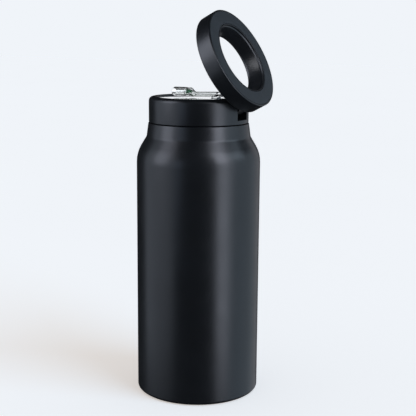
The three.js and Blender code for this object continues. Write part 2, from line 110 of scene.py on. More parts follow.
# The spout, lying flat, and the straw below its pivot.
SPOUT_Z = 194.1 * MM
SPOUT_SLOT = {"x": (9.9 * MM, 19.2 * MM), "half_width": 3.6 * MM}
TIP_HALF_HEIGHT = 2.85 * MM
NECK_HALF_HEIGHT = 1.45 * MM
FLOW_X = SPOUT_PIVOT.x + SPOUT_Z + NECK_HALF_HEIGHT - SPOUT_PIVOT.z
SPIGOT_BORE = 1.4 * MM
VENT_X = -14 * MM

THREAD_PITCH = 4 * MM
THREAD_FOOT = 1  # half of the ridge's height at its root, in millimetres
THREAD_CREST = 0.6  # and at its crest
THREAD_STEPS = 120  # along one turn


# ------------------------------------------------------------------ meshes

def outline(corners):
    """The points of a polygon with corners (x, y) or (x, y, radius), where a radius rounds the corner."""
    points = []
    for i, (x, y, *rest) in enumerate(corners):
        corner = Vector((x, y))
        radius = rest[0] if rest else 0
        if radius == 0:
            points.append(corner)
            continue
        back = (Vector(corners[i - 1][:2]) - corner).normalized()
        ahead = (Vector(corners[(i + 1) % len(corners)][:2]) - corner).normalized()
        half = math.acos(max(-1, min(1, back.dot(ahead)))) / 2
        centre = corner + (back + ahead).normalized() * radius / math.sin(half)
        start = corner + back * radius / math.tan(half) - centre
        turn = math.copysign(math.pi - 2 * half, -back.cross(ahead))
        steps = max(2, math.ceil(abs(turn) / ARC_STEP))
        points += [centre + Matrix.Rotation(turn * k / steps, 2) @ start for k in range(steps + 1)]
    return points


def make_mesh(name, vertices, faces):
    """A new object from vertices and faces, with its faces turned outwards and its flat areas shaded flat."""
    mesh = bpy.data.meshes.new(name)
    mesh.from_pydata([tuple(v) for v in vertices], [], faces)
    shell = bmesh.new()
    shell.from_mesh(mesh)
    bmesh.ops.remove_doubles(shell, verts=shell.verts, dist=1e-7)
    bmesh.ops.recalc_face_normals(shell, faces=shell.faces)
    shell.to_mesh(mesh)
    shell.free()
    obj = bpy.data.objects.new(name, mesh)
    bpy.context.scene.collection.objects.link(obj)
    return smooth(obj)


def smooth(obj):
    obj.data.polygons.foreach_set("use_smooth", [True] * len(obj.data.polygons))
    obj.data.set_sharp_from_angle(angle=SMOOTH_ANGLE)
    return obj


def lathe(name, corners, sides=SIDES):
    """A closed body of revolution about Z. The corners are (radius, z) or (radius, z, rounding)."""
    points = outline(corners)
    vertices = []
    for k in range(sides):
        angle = 2 * math.pi * k / sides
        vertices += [(p.x * math.cos(angle), p.x * math.sin(angle), p.y) for p in points]
    count = len(points)
    faces = []
    for k in range(sides):
        here, there = k * count, ((k + 1) % sides) * count
        for i in range(count):
            j = (i + 1) % count
            if points[i].x == 0 and points[j].x == 0:
                continue
            faces.append((here + i, here + j, there + j, there + i))
    return make_mesh(name, vertices, faces)


def prism(name, points, low, high):
    """An outline of (x, z) points, extruded along Y from low to high."""
    count = len(points)
    vertices = [(p[0], y, p[1]) for y in (low, high) for p in points]
    sides = [(i, (i + 1) % count, (i + 1) % count + count, i + count) for i in range(count)]
    return make_mesh(name, vertices, [tuple(range(count)), tuple(range(count, 2 * count)), *sides])


def block(x, y, z):
    return prism("block", [(x[0], z[0]), (x[1], z[0]), (x[1], z[1]), (x[0], z[1])], *y)


def cross_rod(x, z, radius, reach):
    """A cylinder along Y, from -reach to reach."""
    angles = [2 * math.pi * k / SMALL_SIDES for k in range(SMALL_SIDES)]
    points = [(x + radius * math.cos(a), z + radius * math.sin(a)) for a in angles]
    return prism("cross_rod", points, -reach, reach)


def post(x, y, radius, low, high):
    """A vertical cylinder."""
    rod = lathe("post", [(0, low), (radius, low), (radius, high), (0, high)], SMALL_SIDES)
    rod.data.transform(Matrix.Translation((x, y, 0)))
    return rod


def loft(name, profile, centre, ratio):
    """A body of elliptical sections along X.

    The profile holds (x, half height) points. The functions of x give the section's middle height and
    its width as a multiple of its height.
    """
    sides = SMALL_SIDES
    vertices = []
    for x, height in profile:
        for k in range(sides):
            angle = 2 * math.pi * k / sides
            vertices.append((x, height * ratio(x) * math.cos(angle), centre(x) + height * math.sin(angle)))
    faces = []
    for row in range(len(profile) - 1):
        for k in range(sides):
            near, far = row * sides + k, row * sides + (k + 1) % sides
            faces.append((near, far, far + sides, near + sides))
    faces += [tuple(range(sides)), tuple(range(len(vertices) - sides, len(vertices)))]
    return make_mesh(name, vertices, faces)


def between(x, start, end):
    """How far x is on its way from start to end, from 0 to 1, easing in and out."""
    part = max(0, min(1, (x - start) / (end - start)))
    return part * part * (3 - 2 * part)


def thread_ridge(root, crest, turns, z):
    """A helical ridge with a rounded crest, which fades out at both ends."""
    steps = round(turns * THREAD_STEPS)
    fade = 0.08  # of the length, at each end
    least = 0.08  # of the height, so that the ends stay solid
    section = outline([
        (0, -THREAD_FOOT),
        (1, -THREAD_CREST, 0.25),
        (1, THREAD_CREST, 0.25),
        (0, THREAD_FOOT),
    ])
    vertices = []
    for k in range(steps + 1):
        along = k / steps
        grown = max(least, min(between(along, 0, fade), between(1 - along, 0, fade)))
        angle = along * turns * 2 * math.pi
        for point in section:
            radius = root + (crest - root) * point.x * grown
            rise = z + along * turns * THREAD_PITCH + point.y * MM
            vertices.append((radius * math.cos(angle), radius * math.sin(angle), rise))
    count = len(section)
    faces = [tuple(range(count)), tuple(range(steps * count, (steps + 1) * count))]
    for k in range(steps):
        for i in range(count):
            j = (i + 1) % count
            faces.append((k * count + i, k * count + j, (k + 1) * count + j, (k + 1) * count + i))
    return make_mesh("thread", vertices, faces)


def combine(obj, operation, *tools):
    """Cuts the tools from obj (DIFFERENCE) or joins them to it (UNION), and removes them."""
    for tool in tools:
        change = obj.modifiers.new("combine", "BOOLEAN")
        change.operation = operation
        change.solver = "EXACT"
        change.object = tool
    return settle(obj, *tools)


def settle(obj, *spent):
    """Applies obj's modifiers and removes the objects that they used."""
    evaluated = obj.evaluated_get(bpy.context.evaluated_depsgraph_get())
    mesh = bpy.data.meshes.new_from_object(evaluated)
    obj.modifiers.clear()
    obj.data = mesh
    for other in spent:
        bpy.data.objects.remove(other)
    return smooth(obj)


def soften(obj, width, segments=2):
    """Rounds the creases of a cut piece a little, as a mould or a cutter leaves them."""
    bevel = obj.modifiers.new("soften", "BEVEL")
    bevel.width = width
    bevel.segments = segments
    bevel.limit_method = "ANGLE"
    bevel.angle_limit = SMOOTH_ANGLE
    bevel.use_clamp_overlap = True
    return settle(obj)


def merge(objects):
    """Makes one mesh of several separate closed ones."""
    first, *others = objects
    shell = bmesh.new()
    for obj in objects:
        shell.from_mesh(obj.data)
    shell.to_mesh(first.data)
    shell.free()
    for obj in others:
        bpy.data.objects.remove(obj)
    return first


# ------------------------------------------------------------------ materials

class Shader:
    """A material's node tree, with short calls for the nodes that the finishes below share."""

    def __init__(self, name, **values):
        self.material = bpy.data.materials.new(name)
        self.material.use_nodes = True
        self.nodes = self.material.node_tree.nodes
        self.links = self.material.node_tree.links
        self.surface = self.nodes["Principled BSDF"]
        for socket, value in values.items():
            self.surface.inputs[socket.replace("_", " ")].default_value = value
        self.place = self.nodes.new("ShaderNodeTexCoord").outputs["Object"]

    def stretched(self, scale):
        """The object's own coordinates, scaled along each axis."""
        mapping = self.nodes.new("ShaderNodeMapping")
        mapping.inputs["Scale"].default_value = scale
        self.links.new(self.place, mapping.inputs["Vector"])
        return mapping.outputs["Vector"]

    def noise(self, scale, detail=4, roughness=0.55, vector=None):
        node = self.nodes.new("ShaderNodeTexNoise")
        node.inputs["Scale"].default_value = scale
        node.inputs["Detail"].default_value = detail
        node.inputs["Roughness"].default_value = roughness
        self.links.new(vector or self.place, node.inputs["Vector"])
        return node.outputs["Fac"]

    def ramp(self, factor, *stops):
        """Maps a factor to colours or grey values: each stop is (position, value or colour)."""
        node = self.nodes.new("ShaderNodeValToRGB")
        while len(node.color_ramp.elements) < len(stops):
            node.color_ramp.elements.new(0.5)
        for element, (position, value) in zip(node.color_ramp.elements, stops):
            element.position = position
            element.color = (*value, 1) if isinstance(value, tuple) else (value, value, value, 1)
        self.links.new(factor, node.inputs["Fac"])
        return node.outputs["Color"]

    def bump(self, height, distance, strength, below=None):
        node = self.nodes.new("ShaderNodeBump")
        node.inputs["Distance"].default_value = distance
        node.inputs["Strength"].default_value = strength
        self.links.new(height, node.inputs["Height"])
        if below:
            self.links.new(below, node.inputs["Normal"])
        return node.outputs["Normal"]

    def drive(self, socket, output):
        self.links.new(output, self.surface.inputs[socket])
        return self


def powder_coat(name, dark, light, rough):
    """Matte black coat on metal: a fine orange-peel grain, with slight clouds in its colour and gloss."""
    s = Shader(name, Metallic=0.0, Specular_IOR_Level=0.5)
    s.drive("Base Color", s.ramp(s.noise(35, 3), (0.35, dark), (0.65, light)))
    s.drive("Roughness", s.ramp(s.noise(60, 5), (0.3, rough[0]), (0.7, rough[1])))
    grain = s.bump(s.noise(2600, 2), 0.00002, 0.5)
    return s.drive("Normal", s.bump(s.noise(700, 3), 0.00003, 0.35, grain)).material


def moulded(name, dark, light, rough):
    """Moulded plastic or rubber with a spark-eroded grain."""
    s = Shader(name, Specular_IOR_Level=0.5)
    s.drive("Base Color", s.ramp(s.noise(90, 3), (0.35, dark), (0.65, light)))
    s.drive("Roughness", s.ramp(s.noise(140, 4), (0.3, rough[0]), (0.7, rough[1])))
    return s.drive("Normal", s.bump(s.noise(1800, 3), 0.00002, 0.35)).material


def turned_steel(name, colour, rough, lines=(60, 60, 9000)):
    """Stainless steel with the fine lines of its last turning or brushing along one direction."""
    s = Shader(name, Metallic=1.0, Base_Color=(*colour, 1))
    streaks = s.noise(1, 4, 0.7, s.stretched(lines))
    s.drive("Roughness", s.ramp(streaks, (0.3, rough[0]), (0.7, rough[1])))
    return s.drive("Normal", s.bump(streaks, 0.000004, 0.6)).material


def clear_plastic():
    s = Shader("clear_plastic", Base_Color=(0.985, 1, 0.99, 1), IOR=1.5, Transmission_Weight=1.0)
    s.drive("Roughness", s.ramp(s.noise(300, 3), (0.3, 0.0), (0.75, 0.03)))
    return s.drive("Normal", s.bump(s.noise(220, 2), 0.00002, 0.1)).material


def foam():
    s = Shader("foam", Roughness=0.95)
    cells = s.noise(900, 6, 0.7)
    s.drive("Base Color", s.ramp(cells, (0.3, (0.5, 0.47, 0.4)), (0.7, (0.75, 0.72, 0.65))))
    return s.drive("Normal", s.bump(cells, 0.0003, 0.8)).material


DARK_COAT = (0.0022, 0.0028, 0.0036)
LIGHT_COAT = (0.0034, 0.0042, 0.0053)
COAT_ROUGHNESS = (0.29, 0.34)
FINISHES = {
    "black_coat": powder_coat("black_coat", DARK_COAT, LIGHT_COAT, COAT_ROUGHNESS),
    "black_plastic": powder_coat("black_plastic", DARK_COAT, LIGHT_COAT, COAT_ROUGHNESS),
    "soft_black": moulded("soft_black", (0.007, 0.0105, 0.013), (0.0095, 0.014, 0.0172), (0.55, 0.62)),
    "black_rubber": moulded("black_rubber", (0.01, 0.01, 0.011), (0.016, 0.016, 0.017), (0.65, 0.8)),
    "white_plastic": moulded("white_plastic", (0.68, 0.7, 0.69), (0.74, 0.75, 0.74), (0.3, 0.4)),
    "green_silicone": moulded("green_silicone", (0.1, 0.42, 0.2), (0.15, 0.52, 0.28), (0.35, 0.45)),
    "steel": turned_steel("steel", (0.55, 0.56, 0.57), (0.25, 0.38)),
    "magnet": turned_steel("magnet", (0.5, 0.51, 0.52), (0.2, 0.3), (400, 400, 400)),
    "polished_steel": turned_steel("polished_steel", (0.86, 0.87, 0.88), (0.03, 0.08), (25, 4000, 25)),
    "clear_plastic": clear_plastic(),
    "foam": foam(),
}


def finish_piece(obj, body, slot, *replaced):
    """Gives a new piece its body, its material slot and the CAD nodes that it stands for."""
    obj.data.materials.clear()
    obj.data.materials.append(FINISHES[slot])
    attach(obj, body)
    if replaced:
        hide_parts(*replaced)
    return obj


# ------------------------------------------------------------------ the bottle

WALL = 0.6 * MM  # of both steel shells


def outer_shell():
    neck_radius = 32.4 * MM
    neck_root = (33.6 * MM, 168.7 * MM)
    shoulder_z = 158.1 * MM
    bend = 21 * MM
    lip = 30.1 * MM
    foot = BODY_RADIUS - 4 * MM
    base_corner = 2 * MM
    inside = BODY_RADIUS - WALL
    shell = lathe("bottle_shell", [
        (foot, BASE_Z, 0.2 * MM),
        (BODY_RADIUS, BASE_Z, base_corner),
        (BODY_RADIUS, shoulder_z, bend),
        (*neck_root, 4 * MM),
        (neck_radius, NECK_TOP_Z, 0.4 * MM),
        (lip, NECK_TOP_Z),
        (lip, NECK_TOP_Z - WALL),
        (neck_radius - WALL, NECK_TOP_Z - WALL),
        (neck_root[0] - WALL, neck_root[1], 4 * MM),
        (inside, shoulder_z - WALL / 3, bend),
        (inside, BASE_Z + WALL, base_corner - WALL),
        (foot, BASE_Z + WALL, 0.2 * MM),
    ])
    return finish_piece(shell, "bottle", "black_coat", "outer_shell")


def inner_liner():
    low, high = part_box("inner_liner")
    mouth = 29.2 * MM
    inside = high.y - WALL
    bend_z = 156.6 * MM
    bend = 18 * MM
    neck_root = 168.6 * MM
    corner = 8 * MM
    cup = lathe("bottle_liner", [
        (0, low.z),
        (high.y, low.z, corner),
        (high.y, bend_z, bend),
        (mouth + WALL, neck_root, 4 * MM),
        (mouth + WALL, high.z, 0.2 * MM),
        (mouth, high.z, 0.2 * MM),
        (mouth, neck_root, 4 * MM),
        (inside, bend_z, bend),
        (inside, low.z + WALL, corner - WALL),
        (0, low.z + WALL),
    ])
    combine(cup, "UNION", thread_ridge(29.5 * MM, 28 * MM, 1.05, 170.9 * MM))
    return finish_piece(cup, "bottle", "steel", "inner_liner")


def base_cap():
    """The pressed base plate, with a turned-down edge and a dimple for the vacuum seal."""
    low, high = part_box("base_cap")
    radius = high.x
    underside = 2.1 * MM
    dimple = 3.2 * MM
    plate = lathe("base_plate", [
        (0, dimple),
        (4 * MM, dimple, 0.4 * MM),
        (5.2 * MM, underside, 0.4 * MM),
        (radius - WALL, underside, 0.5 * MM),
        (radius - WALL, low.z, 0.1 * MM),
        (radius, low.z, 0.1 * MM),
        (radius, underside + WALL, 1 * MM),
        (5.5 * MM, underside + WALL, 0.8 * MM),
        (4.3 * MM, dimple + WALL, 0.8 * MM),
        (0, dimple + WALL),
    ])
    return finish_piece(plate, "bottle", "steel", "base_cap")


def base_pad():
    """The rubber foot: a disc with moulded rings under it, and short slots across the outermost ring."""
    radius = PAD_HIGH.x
    edge = 0.45 * MM
    groove = 0.5 * MM
    first_ring = 5.6 * MM
    slot_count = 36
    profile = [(0, 0.35 * MM), (5 * MM, 0.35 * MM, 0.15 * MM), (first_ring, 0, 0.15 * MM)]
    for k in range(1, 6):
        middle = first_ring + k * 4.4 * MM
        profile += [
            (middle - 0.9 * MM, 0, 0.15 * MM),
            (middle - 0.5 * MM, groove, 0.15 * MM),
            (middle + 0.5 * MM, groove, 0.15 * MM),
            (middle + 0.9 * MM, 0, 0.15 * MM),
        ]
    profile += [(radius, 0, edge), (radius, PAD_HIGH.z, edge / 2), (0, PAD_HIGH.z)]
    pad = lathe("base_foot", profile, HIDDEN_SIDES)
    slots = [block((30.2 * MM, 32.4 * MM), (-0.35 * MM, 0.35 * MM), (-1 * MM, groove))]
    for k in range(1, slot_count):
        slot = slots[0].copy()
        slot.data = slots[0].data.copy()
        slot.data.transform(Matrix.Rotation(2 * math.pi * k / slot_count, 4, "Z"))
        bpy.context.scene.collection.objects.link(slot)
        slots.append(slot)
    combine(pad, "DIFFERENCE", merge(slots))
    return finish_piece(pad, "bottle", "black_rubber", "base_pad")


def vacuum_parts():
    """The brazed disc that closes the vacuum, and the getter that keeps it."""
    low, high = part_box("vacuum_seal")
    disc = lathe("vacuum_disc", [
        (0, low.z + 0.2 * MM),
        (1.6 * MM, low.z + 0.2 * MM, 0.1 * MM),
        (2 * MM, low.z, 0.1 * MM),
        (high.x, low.z, 0.15 * MM),
        (high.x, high.z, 0.15 * MM),
        (0, high.z),
    ], SMALL_SIDES)
    finish_piece(disc, "bottle", "steel", "vacuum_seal")
    low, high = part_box("getter")
    middle = (low.x + high.x) / 2
    radius = (high.x - low.x) / 2
    cup = lathe("getter_ring", [
        (0, low.z),
        (radius, low.z, 0.3 * MM),
        (radius, high.z, 0.3 * MM),
        (radius - 1 * MM, high.z, 0.3 * MM),
        (radius - 1.3 * MM, high.z - 0.7 * MM, 0.3 * MM),
        (1.6 * MM, high.z - 0.7 * MM, 0.3 * MM),
        (1.2 * MM, high.z - 0.1 * MM, 0.2 * MM),
        (0, high.z - 0.1 * MM),
    ], SMALL_SIDES)
    cup.data.transform(Matrix.Translation((middle, 0, 0)))
    return finish_piece(cup, "bottle", "steel", "getter")


# ------------------------------------------------------------------ the lid

DECK_TOP_Z = PLATE_LOW.z - GAP
DECK_UNDERSIDE_Z = DECK_TOP_Z - 2.1 * MM
HOLDER_BODY = {"x": (9 * MM, 20.2 * MM), "half_width": 8 * MM, "z": (185 * MM, DECK_TOP_Z)}
HOLDER_WING = {"x": (11.5 * MM, 18.5 * MM), "reach": 13 * MM, "z": (187.6 * MM, DECK_UNDERSIDE_Z - GAP)}
SCREW_X = 15 * MM
SCREW_Y = 10.5 * MM
SCREW_RADIUS = 1 * MM


def screw_holes(low, high):
    return [post(SCREW_X, side * SCREW_Y, SCREW_RADIUS + GAP, low, high) for side in (-1, 1)]


def lid_shell():
    wall = 1.6 * MM
    inside = LID_RADIUS - wall
    rim_inner = PLATE_RADIUS + GAP
    cup = lathe("lid_cap", [
        (0, DECK_UNDERSIDE_Z),
        (inside, DECK_UNDERSIDE_Z, 1 * MM),
        (inside, LID_BASE_Z),
        (LID_RADIUS, LID_BASE_Z, 0.4 * MM),
        (LID_RADIUS, LID_TOP_Z, 2.7 * MM),
        (rim_inner, LID_TOP_Z, 0.3 * MM),
        (rim_inner, DECK_TOP_Z),
        (0, DECK_TOP_Z),
    ])
    hinge_block = block(
        (HINGE_BLOCK_X, LID_RADIUS - 0.9 * MM),
        (-HINGE_BLOCK_HALF_WIDTH, HINGE_BLOCK_HALF_WIDTH),
        (HINGE_BLOCK_Z, DECK_TOP_Z - 1 * MM),
    )
    keep = LID_RADIUS - 0.5 * MM
    inner_side = lathe("keep", [(0, LID_BASE_Z), (keep, LID_BASE_Z), (keep, LID_TOP_Z), (0, LID_TOP_Z)])
    combine(hinge_block, "INTERSECT", inner_side)
    combine(cup, "UNION", hinge_block)
    above = LID_TOP_Z + 5 * MM
    side = POCKET_HALF_WIDTH
    pocket = block((POCKET_X, LID_RADIUS + 4 * MM), (-side, side), (POCKET_Z, above))
    holder_window = block(
        (HOLDER_BODY["x"][0] - GAP, HOLDER_BODY["x"][1] + GAP),
        (-HOLDER_BODY["half_width"] - GAP, HOLDER_BODY["half_width"] + GAP),
        (DECK_UNDERSIDE_Z - 1 * MM, above),
    )
    holes = screw_holes(DECK_UNDERSIDE_Z - 1 * MM, 191.5 * MM)
    pin_hole = cross_rod(HINGE.x, HINGE.z, PIN_HOLE, PIN_HOLE_REACH)
    combine(cup, "DIFFERENCE", pocket, pin_hole, holder_window, *holes)
    soften(cup, 0.12 * MM)
    return finish_piece(cup, "lid", "black_plastic", "lid_shell")


def screw_plug():
    """The cup that screws into the mouth, with a flange, a thread and a ring groove under its bottom."""
    wall = 1.6 * MM
    radius = 27.5 * MM
    inside = radius - wall
    low = PLUG_LOW.z
    floor = low + wall
    groove = low + 0.5 * MM
    flange_low = PLUG_HIGH.z - 1 * MM
    flange_radius = -PLUG_LOW.x
    cup = lathe("lid_plug", [
        (0, low),
        (18 * MM, low, 0.2 * MM),
        (18.4 * MM, groove, 0.2 * MM),
        (20.6 * MM, groove, 0.2 * MM),
        (21 * MM, low, 0.2 * MM),
        (radius, low, 0.9 * MM),
        (radius, flange_low, 0.3 * MM),
        (flange_radius, flange_low, 0.15 * MM),
        (flange_radius, PLUG_HIGH.z, 0.3 * MM),
        (inside, PLUG_HIGH.z, 0.3 * MM),
        (inside, floor, 1 * MM),
        (0, floor),
    ], HIDDEN_SIDES)
    combine(cup, "UNION", thread_ridge(27.2 * MM, 28.7 * MM, 1, 168.9 * MM))
    beside_hinge = block(
        (HINGE_BLOCK_X - GAP, LID_RADIUS),
        (-HINGE_BLOCK_HALF_WIDTH - GAP, HINGE_BLOCK_HALF_WIDTH + GAP),
        (HINGE_BLOCK_Z - GAP, PLUG_HIGH.z + 1 * MM),
    )
    spigot_hole = post(FLOW_X, 0, 2.7 * MM, low - 1 * MM, floor + 1 * MM)
    vent_hole = post(VENT_X, 0, 1.4 * MM, low - 1 * MM, floor + 1 * MM)
    combine(cup, "DIFFERENCE", beside_hinge, spigot_hole, vent_hole)
    return finish_piece(cup, "lid", "black_plastic", "screw_plug")


def lid_gasket():
    """A ring seal with rounded lips and a groove in its rim."""
    low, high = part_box("lid_gasket")
    outer = -low.x
    inner = 27.85 * MM
    middle = (low.z + high.z) / 2
    seal = lathe("mouth_gasket", [
        (inner, low.z, 0.15 * MM),
        (inner + 0.8 * MM, low.z, 0.1 * MM),
        (inner + 1.1 * MM, low.z + 0.15 * MM, 0.1 * MM),
        (inner + 1.4 * MM, low.z, 0.1 * MM),
        (outer, low.z, 0.2 * MM),
        (outer, high.z, 0.2 * MM),
        (inner, high.z, 0.15 * MM),
        (inner + 0.15 * MM, middle, 0.1 * MM),
    ])
    return finish_piece(seal, "seal", "black_rubber", "lid_gasket")


def lid_foam():
    low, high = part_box("lid_foam")
    radius = high.y
    puck = lathe("lid_insulation", [
        (0, low.z), (radius, low.z, 0.8 * MM), (radius, high.z, 0.8 * MM), (0, high.z),
    ], 96)
    combine(puck, "DIFFERENCE", post(FLOW_X, 0, 2.8 * MM, low.z - 1 * MM, high.z + 1 * MM))
    return finish_piece(puck, "lid", "foam", "lid_foam")


def vent_valve():
    """An umbrella valve: a thin domed cap on a stem."""
    low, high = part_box("vent_valve")
    radius = (high.x - low.x) / 2
    stem = 1.1 * MM
    cap_top = 163.3 * MM
    valve = lathe("vent_umbrella", [
        (0, low.z),
        (1.2 * MM, low.z, 0.5 * MM),
        (radius, cap_top - 0.35 * MM, 0.15 * MM),
        (radius, cap_top, 0.1 * MM),
        (stem, cap_top, 0.1 * MM),
        (stem, high.z, 0.3 * MM),
        (0, high.z),
    ], SMALL_SIDES)
    valve.data.transform(Matrix.Translation((VENT_X, 0, 0)))
    return finish_piece(valve, "lid", "black_rubber", "vent_valve")


def top_plate():
    disc = lathe("lid_plate", [
        (0, PLATE_LOW.z),
        (PLATE_RADIUS, PLATE_LOW.z),
        (PLATE_RADIUS, PLATE_TOP_Z, 0.2 * MM),
        (0, PLATE_TOP_Z),
    ])
    beyond = (PLATE_LOW.z - 1 * MM, PLATE_TOP_Z + 1 * MM)
    half = SPOUT_SLOT["half_width"]
    slot = block(SPOUT_SLOT["x"], (-half, half), beyond)
    side = POCKET_HALF_WIDTH + GAP
    notch = block((POCKET_X - GAP, LID_RADIUS), (-side, side), beyond)
    combine(disc, "DIFFERENCE", slot, notch)
    soften(disc, 0.08 * MM)
    return finish_piece(disc, "lid", "polished_steel", "top_plate")


def spout_holder():
    """Carries the spout's trunnions in open cradles, and the spigot for the straw."""
    floor = 186 * MM
    cradle = 1.3 * MM
    reach = 5.9 * MM
    half = HOLDER_BODY["half_width"]
    low, high = HOLDER_BODY["z"]
    body = block(HOLDER_BODY["x"], (-half, half), (low, high))
    body.name = "spout_cradle"
    wings = block(HOLDER_WING["x"], (-HOLDER_WING["reach"], HOLDER_WING["reach"]), HOLDER_WING["z"])
    spigot_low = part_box("spout_holder")[0].z
    spigot = post(FLOW_X, 0, 2.4 * MM, spigot_low, low + 0.5 * MM)
    combine(body, "UNION", wings, spigot)
    slot = SPOUT_SLOT["half_width"]
    chamber = block(SPOUT_SLOT["x"], (-slot, slot), (floor, high + 1 * MM))
    cradle_top = block(
        (SPOUT_PIVOT.x - cradle, SPOUT_PIVOT.x + cradle), (-reach, reach), (SPOUT_PIVOT.z, high + 1 * MM),
    )
    bore = post(FLOW_X, 0, SPIGOT_BORE, spigot_low - 1 * MM, floor + 1 * MM)
    seat = cross_rod(SPOUT_PIVOT.x, SPOUT_PIVOT.z, cradle, reach)
    wing_low, wing_high = HOLDER_WING["z"]
    holes = screw_holes(wing_low - 1 * MM, wing_high + 1 * MM)
    combine(body, "DIFFERENCE", chamber, cradle_top, seat, bore, *holes)
    soften(body, 0.15 * MM)
    return finish_piece(body, "lid", "black_plastic", "spout_holder")


def spout_seat():
    low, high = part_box("spout_seat")
    pad = block((low.x, high.x), (low.y, high.y), (low.z, high.z))
    pad.name = "spout_seal"
    combine(pad, "DIFFERENCE", post(FLOW_X, 0, SPIGOT_BORE, low.z - 1 * MM, high.z + 1 * MM))
    soften(pad, 0.25 * MM, 3)
    return finish_piece(pad, "lid", "black_rubber", "spout_seat")


def holder_screw(side):
    """A pan-head screw from below, with a cross recess and a turned shank."""
    node = "holder_screw_left" if side > 0 else "holder_screw_right"
    low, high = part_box(node)
    head = (high.x - low.x) / 2
    head_top = low.z + 1.5 * MM
    profile = [(0, low.z), (head, low.z, 0.5 * MM), (head, head_top), (SCREW_RADIUS - 0.1 * MM, head_top)]
    pitch = 0.45 * MM
    core = SCREW_RADIUS - 0.15 * MM
    for k in range(6):
        z = head_top + (k + 0.3) * pitch
        profile += [(core, z), (SCREW_RADIUS, z + pitch / 2), (core, z + 0.9 * pitch)]
    profile += [(core, high.z, 0.1 * MM), (0, high.z)]
    screw = lathe(node.replace("holder", "cradle"), profile, TINY_SIDES)
    arm, blade, depth = 1.1 * MM, 0.22 * MM, 0.7 * MM
    slots = [
        block((-arm, arm), (-blade, blade), (low.z - 1 * MM, low.z + depth)),
        block((-blade, blade), (-arm, arm), (low.z - 1 * MM, low.z + depth)),
    ]
    combine(screw, "DIFFERENCE", *slots)
    screw.data.transform(Matrix.Translation((SCREW_X, side * SCREW_Y, 0)))
    return finish_piece(screw, "lid", "steel", node)


def straw():
    low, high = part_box("straw")
    outer = (high.x - low.x) / 2
    bore = outer - 0.8 * MM
    tube = lathe("drinking_straw", [
        (bore, low.z, 0.15 * MM),
        (outer, low.z, 0.3 * MM),
        (outer, high.z, 0.3 * MM),
        (bore, high.z, 0.15 * MM),
    ], SMALL_SIDES)
    tube.data.transform(Matrix.Translation((FLOW_X, 0, 0)))
    return finish_piece(tube, "lid", "white_plastic", "straw")


def across(obj, y=0):
    """Turns a lathed piece so that its axis lies along the hinge."""
    turn = Matrix.Translation((HINGE.x, y, HINGE.z)) @ Matrix.Rotation(math.pi / 2, 4, "X")
    obj.data.transform(turn)
    return obj


def hinge_fittings():
    """The pin, with domed and grooved ends, and a washer on each side of the ring's lug."""
    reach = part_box("hinge_pin")[1].y
    radius = 1.2 * MM
    groove = radius - 0.15 * MM
    profile = [(0, -reach), (radius, -reach, 0.5 * MM)]
    for z in (-reach + 1.4 * MM, reach - 1.8 * MM):
        profile += [(radius, z), (groove, z + 0.1 * MM), (groove, z + 0.3 * MM), (radius, z + 0.4 * MM)]
    profile += [(radius, reach, 0.5 * MM), (0, reach)]
    pin = across(lathe("ring_hinge_pin", profile, TINY_SIDES))
    finish_piece(pin, "lid", "steel", "hinge_pin")
    for side, name in ((1, "left"), (-1, "right")):
        low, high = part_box("hinge_washer_" + name)
        half = (high.y - low.y) / 2
        outer = (high.x - low.x) / 2
        washer = lathe("ring_washer_" + name, [
            (PIN_HOLE, -half, 0.1 * MM),
            (outer, -half, 0.15 * MM),
            (outer, half, 0.15 * MM),
            (PIN_HOLE, half, 0.1 * MM),
        ], TINY_SIDES)
        across(washer, (low.y + high.y) / 2)
        finish_piece(washer, "lid", "black_rubber", "hinge_washer_" + name)


# ------------------------------------------------------------------ the spout

TIP_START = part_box("mouthpiece")[0].x
TIP_END = -6.1 * MM
VALVE_SEAT = -9 * MM
NECK_START = -3.1 * MM
NECK_END = 15 * MM
NECK_SLOPE = 0.035  # a rise of 2 degrees


def spout_centre(x):
    """The middle height of the spout, whose neck rises a little towards the hinge."""
    half_height = TIP_HALF_HEIGHT + (NECK_HALF_HEIGHT - TIP_HALF_HEIGHT) * between(x, TIP_END, NECK_START)
    return SPOUT_Z + half_height + max(0, x - NECK_START) * NECK_SLOPE


def spout_ratio(x):
    """The spout's width over its height: the thick tip is rounder than the flat neck."""
    tip, neck = 4 * MM / TIP_HALF_HEIGHT, 3.2 * MM / NECK_HALF_HEIGHT
    return tip + (neck - tip) * between(x, TIP_END, NECK_START)


def half_profile(*corners):
    """The rounded upper outline of a loft, from corners (x, half height, rounding)."""
    closed = outline([*corners, (corners[-1][0], -1), (corners[0][0], -1)])
    return [(p.x, p.y) for p in closed if p.y >= 0]


